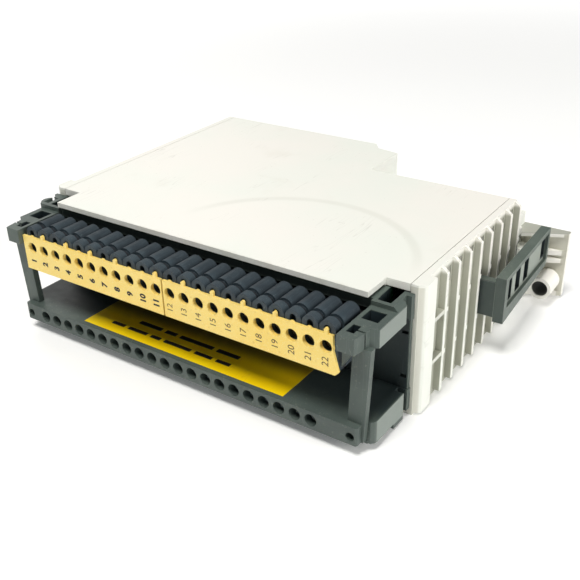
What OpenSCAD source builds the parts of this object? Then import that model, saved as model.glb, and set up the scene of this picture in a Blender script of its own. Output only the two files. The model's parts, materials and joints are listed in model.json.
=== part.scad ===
// Plug-in input/output module of a rack controller, lying on its side.
// X runs along the terminal row, Y from the front to the back, Z up.
// Shapes are drawn from the middle of the row, the indicator bar's face and
// the underside, and place() moves them to the middle of the footprint.

/* [Case] */
// Length of the case along the terminal row
case_len = 131.8; // [128:0.1:136]
// Thickness of the module, from plate to plate
case_t = 40.4; // [39:0.1:42]
// Distance from the front to the back wall
case_back = 116; // [110:0.5:124]
// Thickness of plates and walls
wall = 2.2; // [1.8:0.1:2.6]
// Distance from the front to the plates' front edge
plate_front = 14.4; // [14:0.1:14.8]
// Distance from the front to the corner columns
column_front = 24; // [24:0.1:25]
// Half length of the plates between the two front notches
notch_half = 56.6; // [56.4:0.1:57.4]
// Where the case steps back, measured along the row
step_x = 14; // [8:0.5:24]
// Distance from the front to the wall behind the step
step_back = 91.2; // [90.8:0.1:92]

/* [Ribs] */
// Number of ribs on each end wall
rib_count = 8; // [4:1:8]
// Distance between ribs
rib_pitch = 7.5; // [7.5:0.1:7.6]
// Distance from the front to the first rib
rib_first = 37.55; // [37:0.05:37.6]
// Thickness of a rib
rib_t = 1.3; // [1:0.1:1.4]
// How far the ribs stand out
rib_out = 2.04; // [1.5:0.02:2.2]

/* [Terminals] */
// Distance between terminals
pitch = 5.08; // [5:0.01:5.08]
// Terminals in each block
poles = 11; // [6:1:11]
// Height of the terminal screws' axis
screw_z = 31.1; // [30.9:0.1:31.3]
// Diameter of the screw holes in the marker strip
strip_hole_d = 3.6; // [3.4:0.1:3.8]
// Diameter of the round barrels on the blocks
barrel_d = 4.9; // [4.6:0.1:4.9]
// Height of the header pins' axis
pin_z = 28.5; // [28.4:0.1:28.6]

/* [Indicators] */
// Number of indicator lamps
lamp_count = 21; // [11:1:21]
// Height of the lamps' axis
lamp_z = 6.4; // [6.3:0.1:6.5]
// Diameter of the lamp holes
lamp_hole_d = 3.7; // [3.6:0.1:3.8]

/* [Frame] */
// Height of the floor of the wiring space
floor_top = 9.2; // [9:0.1:9.4]
// Half length of the frame over its arms
frame_half = 65; // [64.4:0.1:65.2]
// Height of the top of the two arms
arm_top = 36.7; // [36.4:0.1:36.9]

/* [Lever and foot] */
// Thickness of the lever's grip plate
grip_t = 3.2; // [2.8:0.1:3.4]
// Length of the lever's grip
grip_len = 41.4; // [39:0.1:41.6]
// How far the grip leans towards the case, in degrees
grip_lean = 2; // [0:0.1:2.2]
// Diameter of the lever's pivot pin
pivot_d = 2.4; // [2:0.1:2.6]
// Diameter of the screw hole in the foot's boss
boss_hole_d = 5.4; // [5.2:0.1:5.6]

/* [Hidden] */
$fn = 48;
half = case_len / 2;
rear_x = half + 12.5;
front_y = -1.9;
rib_x = half + rib_out;
mid_x = (rear_x - rib_x) / 2;
mid_y = (case_back + front_y) / 2;
cover_z = case_t - wall;
cut = 0.5;

ivory = [0.93, 0.91, 0.85];
olive = [0.36, 0.39, 0.36];
slate = [0.29, 0.32, 0.35];
yellow = [0.98, 0.80, 0.35];
sticker_yellow = [1.0, 0.80, 0.0];
board_green = [0.10, 0.36, 0.20];
chip_black = [0.10, 0.10, 0.11];
steel = [0.75, 0.76, 0.78];
brass_gold = [0.85, 0.68, 0.35];

// Moves a shape from its own zero to the middle of the footprint.
module place() {
    translate([-mid_x, -mid_y, 0]) children();
}

// A block given by its lowest and highest corners.
module block(low, high) {
    translate(low) cube(high - low);
}

// A round bar along Y, from y0 to y1.
module bar_y(x, z, d, y0, y1) {
    translate([x, y0, z]) rotate([-90, 0, 0]) cylinder(d = d, h = y1 - y0);
}

// Draws a shape at both ends of the row, the second one mirrored.
module both_ends() {
    children();
    mirror([1, 0, 0]) children();
}

// Position of a terminal along the row, counted from 1 at the left end.
function terminal_x(i) = (i - poles - 0.5) * pitch;

// Outline of the case behind its columns, moved inwards by w.
function shell_points(w) = [
    [-half + w, column_front - (w > 0 ? 1 : 0)],
    [half - w, column_front - (w > 0 ? 1 : 0)],
    [half - w, step_back - w],
    [step_x - w, step_back - w],
    [step_x - w, case_back - 5.3 - w],
    [5.5 - w, case_back - 3.9 - w],
    [2.5 - w, case_back - w],
    [-half + w, case_back - w]
];

// Outline of a side plate, as far as side_half on either side.
module plate_outline(side_half) {
    intersection() {
        union() {
            polygon(shell_points(0));
            translate([-notch_half, plate_front])
                square([2 * notch_half, column_front - plate_front + 1]);
        }
        translate([-side_half, 0]) square([2 * side_half, case_back]);
    }
}

// ---------- case ----------

wall_gap = 0.2;
column_x = rib_x;
column_back = 30.7;
window_y0 = 61.2;
window_y1 = 66.7;
window_z0 = 13.6;
window_z1 = 26.8;
stand_d = 6.4;
board_z = 3.8;
board_t = 1.6;
board_top = board_z + board_t;
board_half = 60.5;
screw_hole_d = 2.56;
stands = [[-58.5, 34], [-56, 104], [4, 104], [52, 82]];
bar_levels = [13.2, 26.6];
bar_t = 1.3;
lip_t = 1.6;

// The cover: a plate with a thinner front lip, and four snap hooks.
module case_cover() {
    color(ivory) place() {
        difference() {
            translate([0, 0, cover_z]) linear_extrude(wall)
                plate_outline(half - wall - wall_gap);
            block([-half, plate_front - cut, cover_z - cut],
                  [half, column_front - 0.6, case_t - lip_t]);
        }
        for (y = [42, 74]) both_ends()
            block([half - wall - 1.4, y, cover_z - 4], [half - wall - 0.4, y + 6, cover_z + 1]);
    }
}

// One rib: a fin on the end wall, with its top corner cut away and two gussets behind it.
module rib(y) {
    translate([half - 0.2, y + rib_t / 2, 0]) rotate([90, 0, 0]) linear_extrude(rib_t)
        polygon([[0, 1.2], [rib_out + 0.2, 1.2], [rib_out + 0.2, case_t - 1.7],
                 [0.7, case_t - 0.3], [0, case_t - 0.3]]);
    for (z = bar_levels)
        translate([half - 0.2, y + rib_t / 2 - 0.1, z]) linear_extrude(bar_t)
            polygon([[0, 0], [rib_out + 0.15, 0], [rib_out + 0.15, 0.9], [0, 1.7]]);
}

// Corner column beside the front frame, with its front corner cut away.
module column() {
    translate([0, 0, 0.8]) linear_extrude(case_t - 0.8)
        polygon([[half - wall, column_front], [half - 0.3, column_front],
                 [column_x - 0.5, column_front + 0.8], [column_x, column_front + 1.4],
                 [column_x, column_back], [half - wall, column_back]]);
}

module end_wall() {
    block([half - wall, column_front, 0], [half, step_back, case_t]);
    column();
    for (i = [0 : rib_count - 1]) rib(rib_first + i * rib_pitch);
    for (z = bar_levels)
        block([half - 0.2, column_back - 0.2, z], [rib_x - 0.2, rib_first, z + bar_t]);
}

// Slots under the rim that let warm air out between the ribs.
module vents() {
    for (i = [0 : rib_count - 2]) {
        y = rib_first + i * rib_pitch;
        block([half - wall - cut, y + rib_t / 2 + 0.5, case_t - 7],
              [half + cut, y + rib_pitch - rib_t / 2 - 0.9, case_t - 2.2]);
    }
}

module case_tub() {
    color(ivory) place() difference() {
        union() {
            linear_extrude(wall) plate_outline(half);
            linear_extrude(cover_z) difference() {
                polygon(shell_points(0));
                polygon(shell_points(wall));
            }
            end_wall();
            mirror([1, 0, 0]) end_wall();
            block([-half, step_back - cut, 0], [-half + wall, case_back, case_t]);
            for (p = stands) translate([p.x, p.y, 0]) cylinder(d = stand_d, h = board_z);
            lever_ears();
        }
        vents();
        mirror([1, 0, 0]) vents();
        block([half - wall - cut, window_y0, window_z0], [half + cut, window_y1, window_z1]);
        for (p = stands) translate([p.x, p.y, 1]) cylinder(d = screw_hole_d, h = board_z);
        block([bus_x0 - 0.15, case_back - wall - cut, bus_z0 - 0.15],
              [bus_x1 + 0.15, case_back + cut, bus_z1 + 0.15]);
        translate([pivot_x, pivot_y, arm_z0 - ear_gap - ear_t - cut])
            cylinder(d = pivot_d, h = arm_z1 - arm_z0 + 2 * (ear_gap + ear_t + cut));
        for (z = foot_screw_z) bar_y(foot_screw_x, z, foot_screw_d + 0.1, step_back - 4, step_back + 1);
    }
}

// ---------- lever ----------

pivot_x = 60.4;
pivot_y = 63.6;
arm_y0 = 62.1;
arm_y1 = 65.1;
arm_z0 = 14.4;
arm_z1 = 25.8;
grip_x1 = 75.5;
grip_z0 = 13;
grip_h = 14.8;
ear_t = 2.4;
ear_gap = 0.3;

// Two ears inside the case that hold the pivot pin.
module lever_ears() {
    for (z = [arm_z0 - ear_gap - ear_t, arm_z1 + ear_gap])
        block([pivot_x - 3, pivot_y - 3.4, z], [half - wall + 0.2, pivot_y + 3.4, z + ear_t]);
}

// Outline of the grip seen from the side, with a sloping rear end.
module grip_outline() {
    polygon([[0, 0], [grip_len - 1.6, 2], [grip_len, 4.4], [grip_len, grip_h + 0.3], [0, grip_h]]);
}

// The grip from its own front corner: a plate with a recess and four blind slots.
module grip() {
    recess = 1.1;
    rim = 1.3;
    sill = 4.2;
    skin = 0.6;
    slot_pitch = 7.7;
    difference() {
        rotate([90, 0, 0]) rotate([0, -90, 0]) linear_extrude(grip_t) mirror([1, 0]) grip_outline();
        block([-recess, 2.6, sill], [cut, grip_len - rim, grip_h - rim]);
        for (i = [0 : 2])
            block([skin - grip_t, 4.6 + slot_pitch * i, sill + 0.4],
                  [cut, 9 + slot_pitch * i, grip_h - rim - 0.6]);
        block([skin - grip_t, grip_len - rim - 3.2, sill + 1.6],
              [cut, grip_len - rim, grip_h - rim]);
    }
}

module release_lever() {
    color(olive) place() difference() {
        union() {
            translate([grip_x1, arm_y0, grip_z0]) rotate([0, 0, grip_lean]) grip();
            block([pivot_x, arm_y0, arm_z0], [grip_x1 - grip_t + 0.2, arm_y1, arm_z1]);
            translate([pivot_x, pivot_y, arm_z0]) cylinder(d = 5.4, h = arm_z1 - arm_z0);
        }
        translate([pivot_x, pivot_y, arm_z0 - cut]) cylinder(d = pivot_d + 0.1, h = arm_z1);
    }
}

module lever_pin() {
    color(steel) place() translate([pivot_x, pivot_y, arm_z0 - ear_gap - ear_t])
        cylinder(d = pivot_d - 0.04, h = arm_z1 - arm_z0 + 2 * (ear_gap + ear_t));
}

// Torsion spring above the upper ear: four turns of wire, both ends cut square.
spring_wire = 0.8;
spring_turns = 4;
spring_steps = 16;
spring_sides = 8;

module lever_spring() {
    coil_r = pivot_d / 2 + 0.8;
    rise = 1.0;
    rings = spring_turns * spring_steps;
    points = [for (i = [0 : rings]) for (k = [0 : spring_sides - 1])
        let (turn = 360 * i / spring_steps, side = 360 * k / spring_sides,
             r = coil_r + spring_wire / 2 * cos(side))
        [r * cos(turn), r * sin(turn), rise * i / spring_steps + spring_wire / 2 * sin(side)]];
    sides = [for (i = [0 : rings - 1]) for (k = [0 : spring_sides - 1])
        let (a = i * spring_sides, b = a + spring_sides, n = (k + 1) % spring_sides)
        [a + k, a + n, b + n, b + k]];
    ends = [[for (k = [spring_sides - 1 : -1 : 0]) k],
            [for (k = [0 : spring_sides - 1]) rings * spring_sides + k]];
    color(steel) place()
        translate([pivot_x, pivot_y, arm_z1 + ear_gap + ear_t + spring_wire / 2])
            polyhedron(points, concat(sides, ends));
}

// ---------- mounting foot ----------

foot_x0 = 60;
foot_x1 = rear_x;
foot_y1 = 112;
foot_plate = 2.4;
foot_z0 = 1.2;
foot_z1 = 24.3;
boss_x = 73.7;
boss_z = 6.9;
boss_d = 7.6;
boss_front = 100.5;
foot_screw_d = 2.9;
foot_screw_x = 57.4;
foot_screw_z = [7, 19];

// One level rib of the foot, with a slanted front edge.
module foot_rib(z, t) {
    translate([0, 0, z]) linear_extrude(t)
        polygon([[foot_x0, step_back + foot_plate], [foot_x0 + 2.2, step_back + foot_plate],
                 [foot_x0 + 4, 102.8], [foot_x1, 109.9], [foot_x1, foot_y1], [foot_x0, foot_y1]]);
}

module mounting_foot() {
    color(ivory) place() difference() {
        union() {
            block([foot_x0, foot_y1 - foot_plate, foot_z0], [foot_x1, foot_y1, foot_z1]);
            block([foot_x0, step_back, foot_z0], [foot_x0 + foot_plate, foot_y1, foot_z1 + 4]);
            block([foot_x0 - 6, step_back, foot_z0], [foot_x0 + 1, step_back + foot_plate, foot_z1]);
            foot_rib(foot_z0, 1.8);
            foot_rib(13.6, 1.5);
            foot_rib(16.4, 1.7);
            foot_rib(foot_z1 - 1.3, 1.3);
            bar_y(boss_x, boss_z, boss_d, boss_front, foot_y1 - 0.2);
            block([foot_x0, 96, foot_z1 - 0.2], [foot_x0 + 6, 99, foot_z1 + 4]);
        }
        bar_y(boss_x, boss_z, boss_hole_d, boss_front - cut, foot_y1 + cut);
        for (z = foot_screw_z) {
            bar_y(foot_screw_x, z, foot_screw_d + 0.1, step_back - cut, step_back + foot_plate + cut);
        }
    }
}

module foot_screws() {
    color(steel) place() for (z = foot_screw_z) {
        bar_y(foot_screw_x, z, foot_screw_d, step_back - 3.6, step_back + foot_plate + 0.1);
        difference() {
            bar_y(foot_screw_x, z, 5.2, step_back + foot_plate, step_back + foot_plate + 1.6);
            block([foot_screw_x - 3, step_back + foot_plate + 0.9, z - 0.35],
                  [foot_screw_x + 3, step_back + foot_plate + 2, z + 0.35]);
        }
    }
}

// ---------- front frame ----------

wall_y0 = 22;
wall_y1 = 23.8;
bar_half = 62.3;
bar_depth = 5;
bar_z0 = 3.6;
frame_z0 = wall + 0.2;
frame_z1 = cover_z - 0.2;
floor_t = 2;
block_half = 57.2;
upright_y0 = 2.2;
upright_y1 = 4.2;
raised_y0 = 14.9;
arm_end = 19.6;
side_y1 = 20.3;
arm_z = case_t - floor_top;
window_half = 57.2;
slot_gap = 0.3;

// Front bar with a hole for each lamp and a fixing hole at each end.
module indicator_bar() {
    difference() {
        union() {
            translate([0, 0, bar_z0]) linear_extrude(floor_top - bar_z0)
                polygon([[-bar_half + 0.5, 0], [bar_half - 0.5, 0], [bar_half, 0.5],
                         [bar_half, bar_depth], [-bar_half, bar_depth], [-bar_half, 0.5]]);
            block([-bar_half + 1, 3.2, frame_z0], [bar_half - 1, bar_depth, bar_z0 + 0.2]);
        }
        for (i = [1 : lamp_count])
            bar_y(terminal_x(i), lamp_z, lamp_hole_d, -cut, bar_depth + cut);
        for (s = [-1, 1]) bar_y(60.23 * s, 6, 2.6, -cut, 3.4);
    }
}

// Arm beside the terminal blocks: nose, key slot, pocket and a raised frame behind a rib.
module arm() {
    difference() {
        union() {
            translate([0, 0, 32.1]) linear_extrude(arm_top - 32.1)
                polygon([[block_half, front_y], [62.2, front_y], [62.8, 1.7],
                         [62.8, 3], [block_half, 3]]);
            translate([0, 0, arm_z]) linear_extrude(arm_top - arm_z)
                polygon([[block_half, 2.6], [62.8, 2.6], [62.8, 4.4], [frame_half, 5.8],
                         [frame_half, arm_end], [block_half, arm_end]]);
            translate([0, raised_y0, 0]) rotate([-90, 0, 0])
                linear_extrude(arm_end - raised_y0)
                    polygon([[block_half, -arm_z], [frame_half, -arm_z], [frame_half, -arm_top],
                             [frame_half - 1.3, -frame_z1], [block_half, -frame_z1]]);
            block([block_half, arm_end - 0.2, arm_z], [63.6, wall_y0 + 0.2, frame_z1]);
        }
        block([58.3, 7.9, 31.8], [63.1, 12.9, arm_top + cut]);
        block([58, 16.2, 31.8], [62.2, wall_y1 + cut, frame_z1 + cut]);
        block([58.3, 0.6, 33.2], [60.6, 4.4, arm_top + cut]);
        block([60, 2, 31], [63.4, 2.6, arm_top + cut]);
    }
}

// Leaning upright between the bar and the arm, with a gusset under the nose.
module upright() {
    translate([0, upright_y1, 0]) rotate([90, 0, 0]) linear_extrude(upright_y1 - upright_y0)
        polygon([[62.2, bar_z0], [62.9, bar_z0], [64.6, 31.9], [59.5, 31.9], [58.3, 9], [62.2, 9]]);
    translate([0, 2.2, 0]) rotate([90, 0, 0]) linear_extrude(1.5)
        polygon([[57.3, 26], [61.2, 32], [61.2, 32.4], [57.3, 32.4]]);
}

// Side wall of the floor, round its front corner and lower at its rear.
module side_wall() {
    translate([0, 0, frame_z0]) linear_extrude(floor_top - frame_z0)
        polygon([[62, 4.3], [63.9, 4.3], [64.7, 5.1], [frame_half, 6.4], [frame_half, side_y1],
                 [63, side_y1], [63, 6.6], [62, 5.8]]);
    block([63, 15, 0.8], [frame_half, side_y1, frame_z0 + 0.2]);
}

// One end of the frame: arm, upright, side wall and the two corner posts.
module frame_end() {
    arm();
    upright();
    side_wall();
    block([62, wall_y0, frame_z0], [65.1, wall_y1, floor_top]);
    block([62.2, wall_y0, 30.8], [65.1, wall_y1, frame_z1]);
}

// Lug on the left arm that covers the case's corner column.
module corner_lug() {
    difference() {
        translate([0, 0, 30.8]) linear_extrude(frame_z1 - 30.8)
            polygon([[-62.4, raised_y0], [-65.6, raised_y0], [-67, 16.6], [-67.4, 18],
                     [-66.9, 19.4], [-65.9, 20.2], [-65.9, 21.8], [-67.4, 22.6],
                     [-67.4, wall_y1], [-62.4, wall_y1]]);
        block([-65.9, 16.4, 31.8], [-61, 21, frame_z1 + cut]);
    }
}

// The frame: its wall has a window for the headers and a slot for the main board.
module front_frame() {
    color(olive) place() difference() {
        union() {
            indicator_bar();
            translate([0, 0, floor_top - floor_t]) linear_extrude(floor_t)
                polygon([[-bar_half, bar_depth - 0.2], [bar_half, bar_depth - 0.2],
                         [64.4, 5.2], [64.8, 6.4], [64.8, side_y1], [bar_half, side_y1],
                         [bar_half, wall_y0 + 0.7], [-bar_half, wall_y0 + 0.7],
                         [-bar_half, side_y1], [-64.8, side_y1], [-64.8, 6.4], [-64.4, 5.2]]);
            block([-63.2, bar_depth - 1, frame_z0], [63.2, side_y1, frame_z0 + 1]);
            block([-bar_half, side_y1 - 1, frame_z0], [bar_half, wall_y0 + 0.7, frame_z0 + 1]);
            block([-64.8, wall_y0 + 0.5, frame_z0], [64.8, wall_y1, frame_z1]);
            block([-block_half - 1, 16.2, 34.8], [block_half + 1, 18.2, frame_z1]);
            block([-block_half - 1, 16.2, 36.6], [block_half + 1, wall_y0 + 0.7, frame_z1]);
            frame_end();
            mirror([1, 0, 0]) frame_end();
            corner_lug();
        }
        block([-window_half, wall_y0 - cut, 24.8], [window_half, wall_y1 + cut, 33.4]);
        block([-board_half - slot_gap, wall_y0 - cut, board_z - slot_gap],
              [board_half + slot_gap, wall_y1 + cut, board_top + slot_gap]);
        both_ends() {
            block([58, 18.2, 33], [62.2, wall_y1 + cut, frame_z1 + cut]);
            for (z = [12.6, 26.2])
                block([62.4, wall_y0 - cut, z], [64.4, wall_y1 + cut, z + 1]);
        }
    }
}

module floor_sticker() {
    color(sticker_yellow) place()
        block([-37, 1.7, floor_top], [38.4, 19, floor_top + 0.12]);
}

// ---------- terminal blocks ----------

block_y0 = 0.4;
block_y1 = 12.1;
block_z0 = 24;
block_z1 = 34.5;
barrel_z = 35.55;
block_end = poles * pitch + 0.5;
seam = 0.27;
groove_y0 = 3;
groove_y1 = 4.4;
groove_d = 3.5;
arch_d = 1.9;
arch_z = 35.9;
strip_t = 0.8;
collar_d = 4.4;
collar_y1 = 0.8;
strip_z0 = 23.5;
strip_z1 = 34.8;
cage_y0 = 4;
cage_y1 = 8.4;

// Lowest and highest x of a block's housing: side is -1 or 1.
function low_x(side) = side < 0 ? -block_end : seam;
function high_x(side) = side < 0 ? -seam : block_end;
// The terminals of a block: 1 to poles on side -1, and the rest on side 1.
function terminals(side) = [for (k = [1 : poles]) side < 0 ? k : k + poles];

// Round barrel above one terminal, with a ring groove and a front notch.
module barrel(x) {
    bar_y(x, barrel_z, barrel_d, block_y0, groove_y0);
    bar_y(x, barrel_z, groove_d, groove_y0 - 0.1, groove_y1 + 0.1);
    bar_y(x, barrel_z, barrel_d, groove_y1, block_y1);
}

// What is hollowed out at one terminal: screw well, cage room, socket, notch.
module terminal_room(x) {
    bar_y(x, screw_z, 3.9, block_y0 - cut, 9.4);
    bar_y(x, screw_z, collar_d + 0.1, block_y0 - cut, collar_y1 + 0.1);
    block([x - 1.9, cage_y0 - 0.2, block_z0 - cut], [x + 1.9, cage_y1 + 0.2, 33.3]);
    block([x - 1.1, cage_y1, pin_z - 1.1], [x + 1.1, block_y1 + cut, pin_z + 1.1]);
    block([x - arch_d / 2, block_y0 - cut, block_z1 - 0.1], [x + arch_d / 2, 2, arch_z]);
    bar_y(x, arch_z, arch_d, block_y0 - cut, 2);
}

module terminal_block(side) {
    color(slate) place() difference() {
        union() {
            block([low_x(side), block_y0, block_z0], [high_x(side), block_y1, block_z1]);
            for (t = terminals(side)) barrel(terminal_x(t));
        }
        for (t = terminals(side)) terminal_room(terminal_x(t));
    }
}

module terminal_block_1() { terminal_block(-1); }
module terminal_block_2() { terminal_block(1); }

// Terminals whose marker tab is tall; the others have a low bump.
tall_tabs = [2, 4, 6, 8, 11, 13, 15, 17, 19, 22];
strip_end = 57;
tall_w = 1.1;
low_w = 1.7;

// Tab of a marker strip, drawn flat: a narrow round-topped one or a low hump.
module marker_tab(x, tall) {
    w = tall ? tall_w : low_w;
    reach = tall ? 1.25 : 0;
    translate([x - w / 2, strip_z1 - 0.2]) square([w, reach + 0.1]);
    translate([x, strip_z1 - 0.2 + reach]) scale([1, tall ? 1 : 0.7]) circle(d = w, $fn = 24);
}

module marker_strip(side) {
    low = side < 0 ? -strip_end : seam;
    outline = side < 0
        ? [[low, strip_z0], [-seam, strip_z0], [-seam, strip_z1], [low, strip_z1]]
        : [[seam, strip_z0], [strip_end - 1, strip_z0], [strip_end, strip_z0 + 1],
           [strip_end - 1.6, screw_z - 0.6], [strip_end - 1.6, strip_z1], [seam, strip_z1]];
    color(yellow) place() difference() {
        union() {
            translate([0, block_y0, 0]) rotate([90, 0, 0]) linear_extrude(strip_t) {
                polygon(outline);
                for (t = terminals(side)) marker_tab(terminal_x(t), len(search(t, tall_tabs)) > 0);
            }
            for (t = terminals(side))
                bar_y(terminal_x(t), screw_z, collar_d, block_y0 - 0.2, collar_y1);
        }
        for (t = terminals(side))
            bar_y(terminal_x(t), screw_z, strip_hole_d, block_y0 - strip_t - cut, collar_y1 + cut);
    }
}

module marker_strip_1() { marker_strip(-1); }
module marker_strip_2() { marker_strip(1); }

// Slotted clamp screws, one at each terminal.
module terminal_screws(side) {
    color(steel) place() for (t = terminals(side)) {
        x = terminal_x(t);
        difference() {
            bar_y(x, screw_z, 3.4, 2.2, 3.7);
            block([x - 2, 1.7, screw_z - 0.3], [x + 2, 3, screw_z + 0.3]);
        }
        bar_y(x, screw_z, 2.4, 3.6, 8.2);
    }
}

module terminal_screws_1() { terminal_screws(-1); }
module terminal_screws_2() { terminal_screws(1); }

// Clamp cages: a brass box that takes the wire from below and the pin from behind.
module clamp_cages(side) {
    color(brass_gold) place() for (t = terminals(side)) {
        x = terminal_x(t);
        difference() {
            union() {
                block([x - 1.75, cage_y0, 24.8], [x + 1.75, cage_y1, 33]);
                block([x - 0.95, cage_y1 - 0.2, pin_z - 0.95], [x + 0.95, 11.8, pin_z + 0.95]);
            }
            block([x - 1.25, cage_y0 + 0.8, 24], [x + 1.25, cage_y1 - 0.8, 29.3]);
            block([x - 0.55, cage_y1 - 1, pin_z - 0.55], [x + 0.55, 12.4, pin_z + 0.55]);
            bar_y(x, screw_z, 2.44, cage_y0 - cut, cage_y1 + cut);
        }
    }
}

module clamp_cages_1() { clamp_cages(-1); }
module clamp_cages_2() { clamp_cages(1); }

// ---------- headers and boards ----------

header_y0 = 12.6;
header_y1 = 24.6;
header_board_t = 1.6;
header_board_half = 57.5;
header_board_z1 = 37;

module pin_header(side) {
    color(chip_black) place() difference() {
        block([low_x(side), header_y0, 25.2], [high_x(side), header_y1, 33]);
        for (t = terminals(side))
            block([terminal_x(t) - 0.52, header_y0 - cut, pin_z - 0.52],
                  [terminal_x(t) + 0.52, header_y1 + cut, pin_z + 0.52]);
    }
}

module pin_header_1() { pin_header(-1); }
module pin_header_2() { pin_header(1); }

module header_pins(side) {
    color(brass_gold) place() for (t = terminals(side))
        block([terminal_x(t) - 0.48, 8.8, pin_z - 0.48],
              [terminal_x(t) + 0.48, header_y1 + header_board_t + 1.2, pin_z + 0.48]);
}

module header_pins_1() { header_pins(-1); }
module header_pins_2() { header_pins(1); }

module header_board() {
    color(board_green) place() difference() {
        block([-header_board_half, header_y1, board_top],
              [header_board_half, header_y1 + header_board_t, header_board_z1]);
        for (side = [-1, 1]) for (t = terminals(side))
            block([terminal_x(t) - 0.52, header_y1 - cut, pin_z - 0.52],
                  [terminal_x(t) + 0.52, header_y1 + header_board_t + cut, pin_z + 0.52]);
    }
}

module main_board() {
    color(board_green) place() translate([0, 0, board_z]) linear_extrude(board_t) difference() {
        polygon([[-board_half, 5.8], [board_half, 5.8], [board_half, 26], [62, 26], [62, 88],
                 [10.6, 88], [10.6, 108], [-62.4, 108], [-62.4, 26], [-board_half, 26]]);
        for (p = stands) translate(p) circle(d = 3.2);
    }
}

module board_screws() {
    color(steel) place() for (p = stands) translate([p.x, p.y, 0]) difference() {
        union() {
            translate([0, 0, 1.2]) cylinder(d = screw_hole_d - 0.06, h = 5);
            translate([0, 0, board_top]) cylinder(d = 5, h = 1.8);
        }
        block([-3, -0.35, board_top + 1], [3, 0.35, board_top + 3]);
    }
}

// Lamps lie in the bar's holes, and their leads bend down to the main board.
module indicator_lamps() {
    color([0.55, 0.60, 0.55]) place() for (i = [1 : lamp_count]) {
        x = terminal_x(i);
        translate([x, 2.9, lamp_z]) sphere(d = 3);
        bar_y(x, lamp_z, 3, 2.9, 4.8);
        for (s = [-0.9, 0.9]) {
            block([x + s - 0.25, 4.7, lamp_z - 0.25], [x + s + 0.25, 6.8, lamp_z + 0.25]);
            block([x + s - 0.25, 6.3, board_top], [x + s + 0.25, 6.8, lamp_z + 0.25]);
        }
    }
}

// A chip with a row of legs on either side, its long side along Y.
module chip(x, y, w, l, h, legs) {
    block([x - w / 2, y - l / 2, board_top + 0.3], [x + w / 2, y + l / 2, board_top + h]);
    for (s = [-1, 1]) for (k = [0 : legs - 1])
        translate([x + s * w / 2, y + (k - (legs - 1) / 2) * l / (legs + 0.5), board_top])
            block([-0.8, -0.25, 0], [0.8, 0.25, 1]);
}

// The processor: a flat square body with seventeen legs on each of its four sides.
module processor_chip() {
    side = 20;
    leg_pitch = 1.1;
    color(chip_black) place() translate([-4, 66, board_top]) {
        block([-side / 2, -side / 2, 0.3], [side / 2, side / 2, 3.4]);
        for (turn = [0 : 90 : 270]) for (k = [-8 : 8])
            rotate([0, 0, turn]) translate([side / 2, k * leg_pitch, 0])
                block([-0.9, -0.25, 0], [0.9, 0.25, 1.2]);
    }
}

module logic_chips() {
    color(chip_black) place() for (x = [-52, -36]) for (y = [58, 80]) chip(x, y, 8, 18, 3.6, 7);
}

// Middle of the pair of terminals that one input circuit serves.
function pair_x(k) = terminal_x(2 * k) - pitch / 2;

module optocouplers() {
    color(chip_black) place() for (k = [1 : poles]) chip(pair_x(k), 39, 6.6, 6, 3.6, 2);
}

module resistor_networks() {
    color([0.45, 0.16, 0.12]) place() for (k = [1 : poles])
        block([pair_x(k) - 4, 30.2, board_top], [pair_x(k) + 4, 32.4, board_top + 5]);
}

module filter_capacitors() {
    color([0.12, 0.16, 0.30]) place() for (x = [22, 34, 46]) translate([x, 74, board_top]) {
        cylinder(d = 9.6, h = 15.6);
        translate([0, 0, 15.5]) cylinder(d = 8.4, h = 0.5);
    }
}

module power_converter() {
    color([0.20, 0.20, 0.21]) place() {
        block([16, 48, board_top], [48, 66, board_top + 11]);
        for (x = [18 : 3 : 46]) block([x - 0.5, 48.5, board_top + 10.8], [x + 0.5, 65.5, board_top + 13]);
    }
}

module crystal() {
    color(steel) place() {
        block([-28, 62, board_top], [-18, 65.8, board_top + 3.4]);
        translate([-28, 63.9, board_top]) cylinder(d = 3.8, h = 3.4);
        translate([-18, 63.9, board_top]) cylinder(d = 3.8, h = 3.4);
    }
}

module board_fuse() {
    color([0.78, 0.74, 0.66]) place() {
        translate([-58, 45.5, board_top + 3.4]) rotate([0, 90, 0]) cylinder(d = 4.4, h = 14);
        for (x = [-58, -48]) block([x, 42.9, board_top], [x + 4, 48.1, board_top + 5.2]);
    }
}

bus_x0 = -58;
bus_x1 = -6;
bus_z0 = 8;
bus_z1 = 18.6;
bus_y0 = 103;
bus_rows = 2;
bus_columns = 16;
bus_pitch = 2.54;

// Position of a bus pin along the row and in height.
function bus_pin_x(i) = (bus_x0 + bus_x1) / 2 + (i - (bus_columns - 1) / 2) * bus_pitch;
function bus_pin_z(r) = (bus_z0 + bus_z1) / 2 + (r - (bus_rows - 1) / 2) * bus_pitch;

module bus_connector() {
    color([0.62, 0.60, 0.55]) place() difference() {
        block([bus_x0, bus_y0, bus_z0], [bus_x1, case_back - 0.4, bus_z1]);
        block([bus_x0 + 1.6, bus_y0 + 4, bus_z0 + 1.6], [bus_x1 - 1.6, case_back + cut, bus_z1 - 1.6]);
        for (i = [0 : bus_columns - 1]) for (r = [0 : bus_rows - 1])
            block([bus_pin_x(i) - 0.34, bus_y0 - cut, bus_pin_z(r) - 0.34],
                  [bus_pin_x(i) + 0.34, bus_y0 + 5, bus_pin_z(r) + 0.34]);
    }
}

module bus_pins() {
    color(brass_gold) place() for (i = [0 : bus_columns - 1]) for (r = [0 : bus_rows - 1]) {
        tail = bus_y0 - 1.6 - 2.2 * r;
        block([bus_pin_x(i) - 0.3, tail, bus_pin_z(r) - 0.3],
              [bus_pin_x(i) + 0.3, case_back - 3, bus_pin_z(r) + 0.3]);
        block([bus_pin_x(i) - 0.3, tail, board_top], [bus_pin_x(i) + 0.3, tail + 0.6, bus_pin_z(r) + 0.3]);
    }
}

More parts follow.
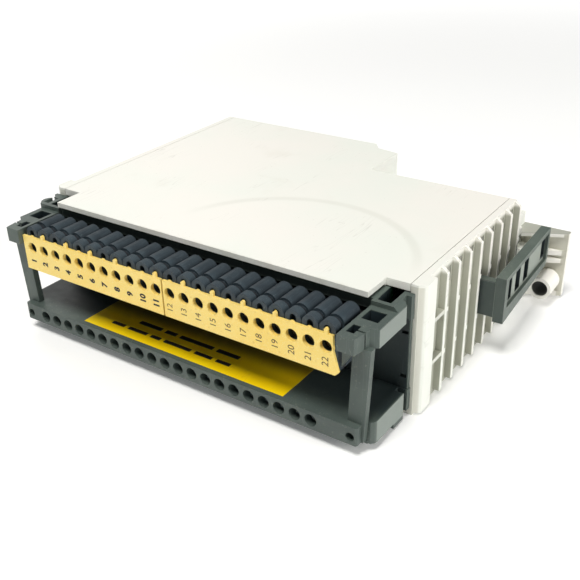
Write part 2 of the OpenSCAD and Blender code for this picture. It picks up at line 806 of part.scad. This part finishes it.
case_cover();
case_tub();
mounting_foot();
foot_screws();
front_frame();
terminal_block_1();
terminal_block_2();
marker_strip_1();
marker_strip_2();
terminal_screws_1();
terminal_screws_2();
clamp_cages_1();
clamp_cages_2();
pin_header_1();
pin_header_2();
header_pins_1();
header_pins_2();
header_board();
main_board();
indicator_lamps();
processor_chip();
logic_chips();
optocouplers();
resistor_networks();
filter_capacitors();
power_converter();
crystal();
board_fuse();
board_screws();
bus_connector();
bus_pins();
release_lever();
lever_pin();
lever_spring();
floor_sticker();
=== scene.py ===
import json
import math

import bmesh
import bpy
import numpy as np
from mathutils import Matrix, Vector

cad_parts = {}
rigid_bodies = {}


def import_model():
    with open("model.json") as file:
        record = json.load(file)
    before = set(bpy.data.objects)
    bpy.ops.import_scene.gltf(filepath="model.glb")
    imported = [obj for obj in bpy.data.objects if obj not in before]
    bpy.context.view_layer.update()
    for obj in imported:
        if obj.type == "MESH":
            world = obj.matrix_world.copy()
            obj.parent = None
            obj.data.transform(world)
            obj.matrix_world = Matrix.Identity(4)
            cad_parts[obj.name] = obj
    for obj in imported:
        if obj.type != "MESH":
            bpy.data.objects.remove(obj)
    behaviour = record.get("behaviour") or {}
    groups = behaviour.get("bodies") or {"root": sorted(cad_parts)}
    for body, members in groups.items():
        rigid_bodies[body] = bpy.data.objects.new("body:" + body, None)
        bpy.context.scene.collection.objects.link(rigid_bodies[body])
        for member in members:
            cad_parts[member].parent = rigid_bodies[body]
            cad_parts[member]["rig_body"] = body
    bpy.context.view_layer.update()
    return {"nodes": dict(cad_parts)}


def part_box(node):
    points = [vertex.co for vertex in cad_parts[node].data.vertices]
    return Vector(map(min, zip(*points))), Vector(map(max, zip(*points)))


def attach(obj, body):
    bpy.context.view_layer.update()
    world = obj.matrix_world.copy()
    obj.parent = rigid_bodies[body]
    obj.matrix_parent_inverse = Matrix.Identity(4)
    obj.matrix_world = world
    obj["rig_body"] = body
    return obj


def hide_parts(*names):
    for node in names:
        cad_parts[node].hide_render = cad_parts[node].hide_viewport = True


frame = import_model()
nodes = frame["nodes"]
mm = 0.001

# ---------- camera ----------
# The module lies on a table and is seen from above its right front corner,
# close enough for the near end to look clearly larger than the far one.
heading, tilt, roll = math.radians(34.93), math.radians(28.33), math.radians(-1.44)
eye = bpy.data.cameras.new("camera")
eye.lens = 52.4
eye.clip_start = 0.01
camera = bpy.data.objects.new("camera", eye)
camera.matrix_world = (
    Matrix.Translation((0.14158, -0.20593, 0.14159))
    @ Matrix.Rotation(heading, 4, "Z")
    @ Matrix.Rotation(math.pi / 2 - tilt, 4, "X")
    @ Matrix.Rotation(roll, 4, "Z")
)
bpy.context.scene.collection.objects.link(camera)
bpy.context.scene.camera = camera


# ---------- case: cover, tub ----------
# Two injection mouldings of light ivory plastic with a fine spark-eroded grain.
# The flat cover snaps into the tub, whose ends carry cooling ribs. Years in a
# rack have left faint marks and a ring on the cover.


class Amount:
    """A number that varies over a surface: arithmetic on it adds Math nodes to its finish."""

    def __init__(self, finish, socket):
        self.finish, self.socket = finish, socket

    def maths(self, operation, *values):
        return self.finish.node("ShaderNodeMath", {"operation": operation}, dict(enumerate(values)))

    def __add__(self, other):
        return self.maths("ADD", self, other)

    def __sub__(self, other):
        return self.maths("SUBTRACT", self, other)

    def __rsub__(self, other):
        return self.maths("SUBTRACT", other, self)

    def __mul__(self, other):
        return self.maths("MULTIPLY", self, other)

    def __abs__(self):
        return self.maths("ABSOLUTE", self)

    def sine(self):
        return self.maths("SINE", self)

    def root(self):
        return self.maths("SQRT", self)

    __radd__, __rmul__ = __add__, __mul__


class Finish:
    """A material on one Principled shader, read in the frame's own coordinates, in metres."""

    def __init__(self, name, constants={}):
        self.material = bpy.data.materials.new(name)
        self.material.use_nodes = True
        self.tree = self.material.node_tree
        self.shader = self.tree.nodes["Principled BSDF"]
        self.place = self.node("ShaderNodeTexCoord", {}, {}, "Object")
        for socket, value in constants.items():
            self.set(socket, value)

    def node(self, kind, settings, inputs, output=0):
        """Adds a node, makes its settings, then gives its sockets their values or links."""
        made = self.tree.nodes.new(kind)
        for name, value in settings.items():
            setattr(made, name, value)
        for key, value in inputs.items():
            self.feed(made.inputs[key], value)
        return Amount(self, made.outputs[output])

    def feed(self, socket, value):
        if isinstance(value, Amount):
            self.tree.links.new(value.socket, socket)
        else:
            socket.default_value = value

    def set(self, socket, value):
        self.feed(self.shader.inputs[socket], value)

    def axes(self):
        """The three coordinates of a surface point, each as an amount."""
        return [self.node("ShaderNodeSeparateXYZ", {}, {"Vector": self.place}, k) for k in "XYZ"]

    def noise(self, grain, detail=2.0, stretch=(1, 1, 1), seed=(0, 0, 0)):
        """Soft blotches about grain metres across, from 0 to 1, drawn out along an axis by stretch."""
        scale = [1 / (grain * s) for s in stretch]
        spot = self.node("ShaderNodeMapping", {}, {"Vector": self.place, "Scale": scale, "Location": seed})
        return self.node("ShaderNodeTexNoise", {}, {"Vector": spot, "Scale": 1.0, "Detail": detail})

    def step(self, value, low, high):
        """0 below low, 1 above high, and a smooth rise between them."""
        return self.node("ShaderNodeMapRange", {"interpolation_type": "SMOOTHSTEP"},
                         {"Value": value, "From Min": low, "From Max": high})

    def blend(self, mask, colour, other):
        """colour where mask is 0, and other where it is 1."""
        return self.node("ShaderNodeMix", {"data_type": "RGBA"}, {0: mask, 6: colour, 7: other}, 2)

    def relief(self, *heights):
        """Bump from pairs of a height amount and the depth in metres that it stands for."""
        normal = None
        for height, depth in heights:
            inputs = {"Height": height, "Distance": depth}
            if normal:
                inputs["Normal"] = normal
            normal = self.node("ShaderNodeBump", {}, inputs)
        self.set("Normal", normal)


def card(red, green, blue):
    """A colour-card value, from 0 to 255, as the linear colour that a shader takes."""
    share = np.array([red, green, blue]) / 255
    linear = np.where(share <= 0.04045, share / 12.92, ((share + 0.055) / 1.055) ** 2.4)
    return (*linear.tolist(), 1.0)


def scratches(finish, grain, reach, share, seed):
    """Thin broken lines: the ridge of a drawn-out noise, kept only where a broad noise is high."""
    ridge = abs(finish.noise(grain, 1.0, reach, seed) - 0.5)
    patches = finish.step(finish.noise(0.02, 1.0, seed=seed), share, share + 0.1)
    return (1 - finish.step(ridge, 0.002, 0.012)) * patches


# The middle of the terminal row, the indicator bar's front face and the underside.
first_block, last_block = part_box("terminal_block_1"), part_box("terminal_block_2")
bar_to_block = 0.4 * mm
zero_point = ((first_block[0].x + last_block[1].x) / 2, first_block[0].y - bar_to_block, 0)


def row_axes(finish):
    """The three coordinates of a surface point, measured from zero_point."""
    return [axis - zero for axis, zero in zip(finish.axes(), zero_point)]


def zone(finish, axes, low, high, soft):
    """1 inside the block between the corners low and high, 0 outside, with a rise of soft along each axis.

    The corners and soft are in millimetres along the axes given.
    """
    mask = 1
    for axis, start, end, rise in zip(axes, low, high, soft):
        mask = mask * finish.step(axis, start * mm, (start + rise) * mm)
        mask = mask * (1 - finish.step(axis, (end - rise) * mm, end * mm))
    return mask


def tinted(finish, tone, axes, tints):
    """tone, drawn towards another colour in some zones, which paint in light or shade: each tint is a zone,
    a share and a colour.
    """
    for low, high, soft, share, colour in tints:
        tone = finish.blend(zone(finish, axes, low, high, soft) * share, tone, colour)
    return tone


def both_ends(low, high):
    """The corners of a block, and those of its mirror image at the other end of the row."""
    return (low, high), ((-high[0], *low[1:]), (-low[0], *high[1:]))


def ivory(name, aged):
    """Ivory plastic: broad tonal drift, specks and scuffs, and a fine grain. aged adds dirt."""
    finish = Finish(name)
    drift = finish.step(finish.noise(0.05, 3.0), 0.35, 0.65)
    tone = finish.blend(drift, card(242, 239, 232), card(237, 239, 231))
    specks = finish.step(finish.noise(0.0007, 1.0, seed=(3, 1, 2)), 0.72, 0.80)
    specks = specks * finish.step(finish.noise(0.012, 2.0, seed=(1, 5, 2)), 0.50, 0.62)
    tone = finish.blend(specks * 0.35, tone, card(150, 142, 122))
    rubbed = scratches(finish, 0.006, (0.35, 6, 1), 0.55, (2, 7, 1))
    tone = finish.blend(rubbed * 0.16, tone, card(150, 146, 136))
    smudge = finish.step(finish.noise(0.018, 4.0, seed=(9, 2, 4)), 0.60, 0.80)
    tone = finish.blend(smudge * aged, tone, card(186, 174, 150))
    grain = finish.noise(0.00028, 1.0)
    finish.set("Base Color", tone)
    finish.set("Roughness", 0.46 + 0.10 * finish.noise(0.004, 2.0) + 0.08 * rubbed)
    finish.relief((grain, 0.018 * mm), (finish.noise(0.006, 2.0), 0.05 * mm))
    return finish, tone


def softened(name, radius, material, edge_material=None, steps=2):
    """A copy of a CAD node with its flat faces rejoined and its corners rounded, as a mould leaves them."""
    shape = bmesh.new()
    shape.from_mesh(nodes[name].data)
    bmesh.ops.remove_doubles(shape, verts=shape.verts, dist=0.001 * mm)
    bmesh.ops.dissolve_limit(shape, angle_limit=math.radians(0.5), verts=shape.verts, edges=shape.edges)
    mesh = bpy.data.meshes.new(name + "_moulded")
    shape.to_mesh(mesh)
    shape.free()
    mesh.shade_smooth()
    mesh.set_sharp_from_angle(angle=math.radians(32))
    mesh.materials.append(material)
    mesh.materials.append(edge_material or material)
    piece = bpy.data.objects.new(name + "_moulded", mesh)
    bpy.context.scene.collection.objects.link(piece)
    rounding = piece.modifiers.new("rounded corners", "BEVEL")
    rounding.width = radius
    rounding.segments = steps
    rounding.limit_method = "ANGLE"
    rounding.angle_limit = math.radians(32)
    rounding.harden_normals = True
    rounding.material = 1
    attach(piece, nodes[name]["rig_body"])
    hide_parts(name)
    return piece


# Painted shade between the ribs and on the columns' front faces.
tub_ivory, tub_tone = ivory("ivory_tub", 0.22)
tub_painted_shade = []
for low, high in both_ends((65.6, 30.8, -2), (67.8, 91.1, 39.6)):
    tub_painted_shade.append((low, high, (0.12, 0.2, 1.4), 0.85, card(164, 165, 149)))
for low, high in both_ends((61.6, 23, 0), (71.8, 24.9, 39.9)):
    tub_painted_shade.append((low, high, (0.1, 0.3, 0.2), 0.80, card(212, 211, 198)))
tub_ivory.set("Base Color", tinted(tub_ivory, tub_tone, row_axes(tub_ivory), tub_painted_shade))

# Painted shade on the foot's back plate, side wall and top, and in its bore.
foot_ivory, foot_tone = ivory("ivory_foot", 0.22)
foot_tone = tinted(foot_ivory, foot_tone, row_axes(foot_ivory), (
    ((62.5, 109.1, 0), (79, 110.2, 24.2), (0.1, 0.2, 0.2), 0.85, card(186, 184, 168)),
    ((62.0, 93.9, 3), (62.7, 109.5, 24.2), (0.1, 0.2, 0.2), 0.85, card(96, 100, 88)),
    ((62.6, 96, 24.1), (80, 113, 26), (0.1, 0.5, 0.1), 0.90, card(160, 161, 150)),
))
bore_x, bore_z, bore_radius, bore_mouth = 73.7 * mm, 6.9 * mm, 2.72 * mm, 100.6 * mm
across, along, up = row_axes(foot_ivory)
from_bore = ((across - bore_x) * (across - bore_x) + (up - bore_z) * (up - bore_z)).root()
bore_shade = 1 - foot_ivory.step(from_bore, bore_radius, bore_radius + 0.08 * mm)
bore_shade = bore_shade * foot_ivory.step(along, bore_mouth, bore_mouth + 0.8 * mm)
foot_ivory.set("Base Color", foot_ivory.blend(bore_shade * 0.9, foot_tone, card(58, 60, 50)))

# A worn ring on the cover, and grime along its front lip.
cover_ivory, cover_tone = ivory("ivory_cover", 0.10)
across, along, _ = cover_ivory.axes()
ring_centre, ring_radius = Vector((0.0178, -0.0369)), 0.0395
from_ring = ((across - ring_centre.x) * (across - ring_centre.x)
             + (along - ring_centre.y) * (along - ring_centre.y)).root() - ring_radius
ring = (1 - cover_ivory.step(abs(from_ring), 0.0004, 0.0022)) * cover_ivory.step(along, -0.032, -0.012)
ring = ring * (0.4 + 0.6 * cover_ivory.noise(0.01, 2.0))
cover_tone = cover_ivory.blend(ring * 0.22, cover_tone, card(176, 176, 160))
front_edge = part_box("case_cover")[0].y
near_front = 1 - cover_ivory.step(along, front_edge + 0.2 * mm, front_edge + 1.6 * mm)
grime = near_front * cover_ivory.step(cover_ivory.noise(0.003, 4.0, (2, 1, 1), (4, 4, 4)), 0.42, 0.62)
cover_ivory.set("Base Color", cover_ivory.blend(grime * 0.14, cover_tone, card(172, 164, 128)))

for name, material in (("case_cover", cover_ivory), ("case_tub", tub_ivory), ("mounting_foot", foot_ivory)):
    softened(name, 0.28 * mm, material.material, steps=3)


# ---------- front frame and release lever ----------
# Olive-grey glass-filled mouldings. The frame holds the indicator bar, the two
# arms and the uprights, and the lever locks the module into the rack. Their
# corners are paler, partly worn by handling and partly a painted highlight.


def olive(name, body, light, gloss):
    """Olive-grey plastic with cloudy flow marks, dust and rub marks. Returns the finish and its tone."""
    finish = Finish(name)
    cloud = finish.step(finish.noise(0.014, 3.0), 0.30, 0.70)
    tone = finish.blend(cloud, body, light)
    dust = finish.step(finish.noise(0.0009, 2.0, seed=(4, 4, 1)), 0.62, 0.78)
    tone = finish.blend(dust * 0.22, tone, card(150, 154, 142))
    rubbed = scratches(finish, 0.0016, (1, 1, 9), 0.50, (5, 1, 3))
    tone = finish.blend(rubbed * 0.22, tone, card(150, 158, 150))
    finish.set("Roughness", gloss + 0.14 * finish.noise(0.003, 2.0))
    finish.relief((finish.noise(0.00022, 1.0), 0.016 * mm), (finish.noise(0.005, 2.0), 0.04 * mm))
    return finish, tone


grip_x, grip_y, grip_z, grip_lean = 75.5, 62.1, 13, math.radians(2)


def grip_axes(finish):
    """Axes of the lever's grip, from its lower front outer corner: out of the plate, along it and up."""
    across, along, up = row_axes(finish)
    across, along, up = across - grip_x * mm, along - grip_y * mm, up - grip_z * mm
    outwards = across * math.cos(grip_lean) + along * math.sin(grip_lean)
    lengthways = along * math.cos(grip_lean) - across * math.sin(grip_lean)
    return [outwards, lengthways, up]


# Painted shade darkens the deep places, and a painted light makes the outer side faces paler.
painted_shade_tone, painted_side_light, painted_panel_light = card(12, 28, 36), card(134, 143, 137), card(148, 156, 147)
crisp = (0.1, 0.1, 0.1)
wiring_space = (-64.6, 4, 5), (64.6, 40, 31.4)
front_pocket = (58.2, 7.8, 31.6), (63.2, 13, 36.5)
rear_pocket = (57.9, 16.1, 31.6), (62.3, 24, 37.8)
key_slot = (58.2, 0.5, 33), (60.7, 4.5, 36.5)
outer_side = (64.82, 4.5, 2), (65.3, 21, 36.4)
frame_painted_light_and_shade = [(*wiring_space, (0.2, 8, 0.2), 0.70, painted_shade_tone)]
for block, colour in (
    (front_pocket, painted_shade_tone),
    (rear_pocket, painted_shade_tone),
    (key_slot, painted_shade_tone),
    (outer_side, painted_side_light),
):
    frame_painted_light_and_shade += [(low, high, crisp, 0.90, colour) for low, high in both_ends(*block)]

# The grip's front face, the arm's front face, the panel in the grip, and the slots in the panel: painted
# shade on all but the panel, which gets a painted light.
grip_painted_light_and_shade = (
    ((-3.3, -0.3, -1), (0.2, 0.2, 16), crisp, 0.45, painted_shade_tone),
    ((-20, -0.3, -1), (-3.2, 0.8, 16), crisp, 0.60, painted_shade_tone),
    ((-1.3, 2.5, 4), (-0.95, 40.3, 13.7), crisp, 0.90, painted_panel_light),
    ((-2.8, 3, 4), (-1.2, 25, 13.5), crisp, 0.90, painted_shade_tone),
    ((-2.8, 36.5, 5), (-1.0, 41, 13.7), crisp, 0.90, painted_shade_tone),
)

for node, dull, bright, axes_of, tints in (
    ("front_frame", card(72, 83, 79), card(84, 95, 89), row_axes, frame_painted_light_and_shade),
    ("release_lever", card(82, 93, 87), card(94, 104, 97), grip_axes, grip_painted_light_and_shade),
):
    finishes = []
    for part, body, light, gloss in (
        ("face", dull, bright, 0.46),
        # The rounded corners get a paler finish: wear from handling and a painted highlight.
        ("edges", card(126, 136, 126), card(150, 158, 146), 0.36),
    ):
        finish, tone = olive(node + "_" + part, body, light, gloss)
        finish.set("Base Color", tinted(finish, tone, axes_of(finish), tints))
        finishes.append(finish.material)
    softened(node, 0.22 * mm, *finishes)


# ---------- terminal blocks ----------
# Blue-grey polyamide. Each terminal carries a round barrel with a ring groove,
# cross-grained in front of the groove and drawn lengthwise behind it.
slate = Finish("slate_plastic")
across, along, _ = slate.axes()
groove_at = first_block[0].y + 3.3 * mm  # middle of the ring groove
front = 1 - slate.step(along, groove_at - 0.2 * mm, groove_at + 0.2 * mm)
grain_pitch = 0.42 * mm
turn = 2 * math.pi / grain_pitch
knurl = ((across + along) * turn).sine() * ((across - along) * turn).sine()
drawn = slate.noise(0.0003, 2.0, (1, 14, 1))
cloud = slate.step(slate.noise(0.006, 3.0), 0.3, 0.7)
tone = slate.blend(cloud, card(38, 50, 58), card(48, 62, 70))
tone = slate.blend(front * slate.step(knurl, -0.1, 0.7) * 0.35, tone, card(84, 96, 102))
tone = slate.blend((1 - front) * slate.step(drawn, 0.48, 0.70) * 0.25, tone, card(80, 92, 100))
dust = slate.step(slate.noise(0.0006, 2.0, seed=(6, 2, 8)), 0.64, 0.76)
tone = slate.blend(dust * 0.25, tone, card(120, 132, 132))
# Painted shade: the ring groove near black, and the barrels past it darker.
ring_start, ring_end = groove_at - 0.62 * mm, groove_at + 0.62 * mm
groove_shade = slate.step(along, ring_start, ring_start + 0.1 * mm)
groove_shade = groove_shade * (1 - slate.step(along, ring_end - 0.1 * mm, ring_end))
behind = slate.step(along, groove_at + 1 * mm, groove_at + 3 * mm)
tone = slate.blend(behind * 0.35, tone, card(16, 26, 34))
slate.set("Base Color", slate.blend(groove_shade * 0.85, tone, card(10, 12, 20)))
slate.set("Roughness", 0.60 + 0.14 * slate.noise(0.002, 2.0))
slate.relief((knurl * front, 0.02 * mm), (drawn, 0.015 * mm), (slate.noise(0.0002, 1.0), 0.012 * mm))

for name in ("terminal_block_1", "terminal_block_2"):
    softened(name, 0.14 * mm, slate.material)


# ---------- marker strips and their numbers ----------
# Thin yellow mouldings clipped to the blocks, with a hole over each screw. The
# terminals are numbered from 1 to 22, printed bold on the first strip and in a
# lighter grey on the second, each number turned to read upwards.
yellow = Finish("marker_yellow")
tone = yellow.blend(yellow.step(yellow.noise(0.02, 3.0), 0.3, 0.7), card(255, 220, 112), card(255, 226, 130))
speckle = yellow.step(yellow.noise(0.00035, 2.0), 0.50, 0.72)
tone = yellow.blend(speckle * 0.55, tone, card(255, 238, 176))
grime = yellow.step(yellow.noise(0.0011, 3.0, seed=(2, 2, 5)), 0.60, 0.80)
tone = yellow.blend(grime * 0.35, tone, card(206, 160, 66))
yellow.set("Base Color", tone)
yellow.set("Roughness", 0.42 + 0.16 * yellow.noise(0.001, 2.0))
yellow.relief((yellow.noise(0.0003, 2.0), 0.02 * mm))

for name in ("marker_strip_1", "marker_strip_2"):
    softened(name, 0.10 * mm, yellow.material)


def ink(name, body, worn):
    """Printing ink, worn through in small specks."""
    finish = Finish(name)
    flecks = finish.step(finish.noise(0.0002, 2.0), 0.55, 0.70)
    finish.set("Base Color", finish.blend(flecks, body, worn))
    finish.set("Roughness", 0.55 + 0.2 * flecks)
    return finish.material


def printed_number(number, height, weight, place):
    """One number as a flat mesh, standing on the strip's face and turned to read upwards."""
    text = bpy.data.curves.new("number", "FONT")
    text.body = str(number)
    text.size = 1.0
    text.offset = weight
    text.extrude = 0.004
    text.align_x = "CENTER"
    text.align_y = "CENTER"
    text.resolution_u = 4
    holder = bpy.data.objects.new("number", text)
    mesh = bpy.data.meshes.new_from_object(holder)
    stand = Matrix.Rotation(math.pi / 2, 4, "X") @ Matrix.Rotation(math.pi / 2, 4, "Z")
    mesh.transform(Matrix.Translation(place) @ stand @ Matrix.Diagonal((height, height, 0.004, 1)))
    bpy.data.objects.remove(holder)
    bpy.data.curves.remove(text)
    return mesh


pitch = 5.08 * mm
first_terminal = zero_point[0] - 10.5 * pitch
strip_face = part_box("marker_strip_1")[0].y
number_level, figure_size = 26.75 * mm, 2.85 * mm
black_ink = ink("black_ink", card(20, 16, 22), card(60, 48, 30))
grey_ink = ink("grey_ink", card(92, 72, 36), card(150, 122, 66))
for strip, numbers, weight, material in (
    (1, range(1, 12), 0.045, black_ink),
    (2, range(12, 23), 0.0, grey_ink),
):
    print_run = bmesh.new()
    for number in numbers:
        middle = first_terminal + (number - 1) * pitch - 0.1 * mm
        place = (middle, strip_face - 0.006 * mm, number_level)
        glyph = printed_number(number, figure_size, weight, place)
        print_run.from_mesh(glyph)
        bpy.data.meshes.remove(glyph)
    mesh = bpy.data.meshes.new(f"numbers_{strip}")
    print_run.to_mesh(mesh)
    print_run.free()
    mesh.materials.append(material)
    numbers_piece = bpy.data.objects.new(f"numbers_{strip}", mesh)
    bpy.context.scene.collection.objects.link(numbers_piece)
    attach(numbers_piece, f"terminal_plug_{strip}")


# ---------- clamp screws and cages ----------
# Slotted screws of yellow-passivated steel, dull in their wells, and plated
# brass cages that they pull up onto the wires.


def plated(name, body, stain, gloss):
    """Plated metal: clouded passivation, pits and a fine grain."""
    finish = Finish(name, {"Metallic": 1.0})
    cloud = finish.step(finish.noise(0.0012, 3.0), 0.3, 0.7)
    pits = finish.step(finish.noise(0.00025, 2.0, seed=(1, 1, 7)), 0.60, 0.75)
    finish.set("Base Color", finish.blend(pits * 0.6, finish.blend(cloud, body, stain), card(70, 60, 44)))
    finish.set("Roughness", gloss + 0.2 * cloud)
    finish.relief((finish.noise(0.0002, 2.0), 0.01 * mm))
    return finish.material


screw_steel = plated("zinc_steel", card(168, 156, 130), card(120, 104, 74), 0.30)
for name in ("terminal_screws_1", "terminal_screws_2", "foot_screws"):
    softened(name, 0.12 * mm, screw_steel)

plain_steel = plated("plain_steel", card(200, 200, 198), card(170, 170, 166), 0.25)
brass = plated("contact_brass", card(214, 184, 120), card(190, 156, 92), 0.25)


def coat(material, *names):
    """Gives CAD nodes that keep their own shape a better material."""
    for name in names:
        nodes[name].data.materials.clear()
        nodes[name].data.materials.append(material)


coat(plain_steel, "lever_pin", "lever_spring", "board_screws", "crystal")
coat(brass, "clamp_cages_1", "clamp_cages_2", "header_pins_1", "header_pins_2", "bus_pins")


# ---------- floor sticker ----------
# A strip of yellow film on the floor of the wiring space, slightly scuffed by
# wires, with two rows of plain dark bars where such a film carries its print.
film = Finish("sticker_yellow", {"Coat Weight": 0.2})
tone = film.blend(film.step(film.noise(0.012, 3.0), 0.3, 0.7), card(255, 214, 0), card(255, 220, 6))
scuff = scratches(film, 0.005, (0.5, 4, 1), 0.45, (3, 3, 3))
tone = film.blend(scuff * 0.35, tone, card(226, 178, 40))
# The rear of the film, under the terminal blocks, is darkened by a painted shadow.
rear_of_floor = (-40, 9, 9), (40, 40, 10)
painted_shadow = [(*rear_of_floor, (0.1, 7, 0.1), 0.8, card(16, 12, 14))]
film.set("Base Color", tinted(film, tone, row_axes(film), painted_shadow))
film.set("Roughness", 0.34 + 0.12 * film.noise(0.002, 2.0))
film.relief((film.noise(0.004, 2.0), 0.03 * mm))
coat(film.material, "floor_sticker")

# Each row: its distance from the film's front edge, the bars' depth and their lengths, in millimetres.
film_low, film_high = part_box("floor_sticker")
row_end, bar_gap, print_level = 12.1 * mm, 1.5, film_high.z + 0.01 * mm
bar_corners, bar_faces = [], []
for from_front, bar_depth, bar_lengths in (
    (3.5, 1.5, (5.1, 6.5, 10.3, 3.9, 7.6, 5.2)),
    (7.8, 1.7, (8.2, 12.6, 4.4, 9.0)),
):
    right = row_end
    near, far = film_low.y + from_front * mm, film_low.y + (from_front + bar_depth) * mm
    for length in bar_lengths:
        left = right - length * mm
        bar_faces.append(tuple(range(len(bar_corners), len(bar_corners) + 4)))
        for x, y in ((left, near), (right, near), (right, far), (left, far)):
            bar_corners.append((x, y, print_level))
        right -= (length + bar_gap) * mm
bar_mesh = bpy.data.meshes.new("sticker_bars")
bar_mesh.from_pydata(bar_corners, [], bar_faces)
bar_mesh.materials.append(black_ink)
sticker_bars = bpy.data.objects.new("sticker_bars", bar_mesh)
bpy.context.scene.collection.objects.link(sticker_bars)
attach(sticker_bars, "base")


# ---------- electronics ----------
# Boards of green laminate, moulded chips, a finned converter and the usual
# small parts, mostly hidden in the case. The lamps' lenses show in the bar.


def moulded(name, body, speck, roughness, grain=0.0004):
    """Plain moulded or dipped coating with a slight tonal drift and a fine grain."""
    finish = Finish(name)
    drift = finish.step(finish.noise(0.004, 3.0), 0.3, 0.7)
    finish.set("Base Color", finish.blend(drift * 0.6, body, speck))
    finish.set("Roughness", roughness + 0.12 * finish.noise(0.0015, 2.0))
    finish.relief((finish.noise(grain, 1.0), 0.012 * mm))
    return finish.material


laminate = Finish("board_laminate", {"Coat Weight": 0.4})
across, _, _ = laminate.axes()
lines = laminate.step((across * (2 * math.pi / (1.27 * mm))).sine(), 0.35, 0.55)
tracks = lines * laminate.step(laminate.noise(0.006, 1.0, (0.5, 5, 1)), 0.48, 0.52)
laminate.set("Base Color", laminate.blend(tracks, card(18, 84, 48), card(44, 122, 70)))
laminate.set("Roughness", 0.32 + 0.15 * laminate.noise(0.003, 2.0))
laminate.relief((tracks, 0.03 * mm))
coat(laminate.material, "main_board", "header_board")
coat(moulded("black_plastic", card(34, 34, 36), card(52, 52, 54), 0.45),
     "processor_chip", "logic_chips", "optocouplers", "pin_header_1", "pin_header_2")
coat(moulded("resistor_red", card(128, 44, 34), card(150, 62, 46), 0.30), "resistor_networks")
coat(moulded("capacitor_blue", card(30, 40, 82), card(44, 58, 104), 0.28), "filter_capacitors")
coat(moulded("converter_black", card(40, 40, 42), card(58, 58, 60), 0.40), "power_converter")
coat(moulded("fuse_ceramic", card(214, 206, 188), card(196, 186, 164), 0.45), "board_fuse")
coat(moulded("connector_grey", card(150, 148, 140), card(168, 165, 154), 0.50), "bus_connector")
coat(moulded("lamp_lens", card(40, 50, 54), card(62, 72, 72), 0.08), "indicator_lamps")


# ---------- table and light ----------
# A pale seamless table under broad, even studio light. It glows a little, and
# more so far off, so that it fades into white.
half_table = 12.0
table_mesh = bpy.data.meshes.new("table")
corners = [(-half_table, -half_table, 0), (half_table, -half_table, 0),
           (half_table, half_table, 0), (-half_table, half_table, 0)]
table_mesh.from_pydata(corners, [], [(0, 1, 2, 3)])
table = bpy.data.objects.new("table", table_mesh)
table.location.z = -0.02 * mm
bpy.context.scene.collection.objects.link(table)
table_paint = Finish("table", {"Roughness": 0.6})
table_paint.set("Base Color", card(250, 250, 250))
across, along, _ = table_paint.axes()
near_glow, far_glow = (0.12, 0.12, 0.12, 1), (0.95, 0.95, 0.95, 1)
far_off = table_paint.step((across * across + along * along).root(), 0.3, 1.2)
table_paint.set("Emission Color", table_paint.blend(far_off, near_glow, far_glow))
table_paint.set("Emission Strength", 1.0)
table_mesh.materials.append(table_paint.material)

sky = bpy.data.worlds.new("studio")
sky.use_nodes = True
backdrop = sky.node_tree.nodes["Background"]
backdrop.inputs["Color"].default_value = (0.86, 0.94, 1.0, 1.0)
backdrop.inputs["Strength"].default_value = 0.12
bpy.context.scene.world = sky
bpy.context.scene.view_settings.view_transform = "Standard"


def soft_light(name, place, size, watts):
    """A square soft box, turned to face the module."""
    lamp = bpy.data.lights.new(name, "AREA")
    lamp.size = size
    lamp.energy = watts
    lamp.color = (1.0, 0.985, 0.95)
    box = bpy.data.objects.new(name, lamp)
    box.location = place
    box.rotation_euler = (-Vector(place)).to_track_quat("-Z", "Y").to_euler()
    bpy.context.scene.collection.objects.link(box)


soft_light("top_light", (0.04, -0.53, 1.40), 0.45, 17.6)
soft_light("right_light", (1.20, 0.06, 0.48), 0.65, 8.8)
soft_light("left_light", (-1.0, 0.7, 0.7), 0.8, 4.0)
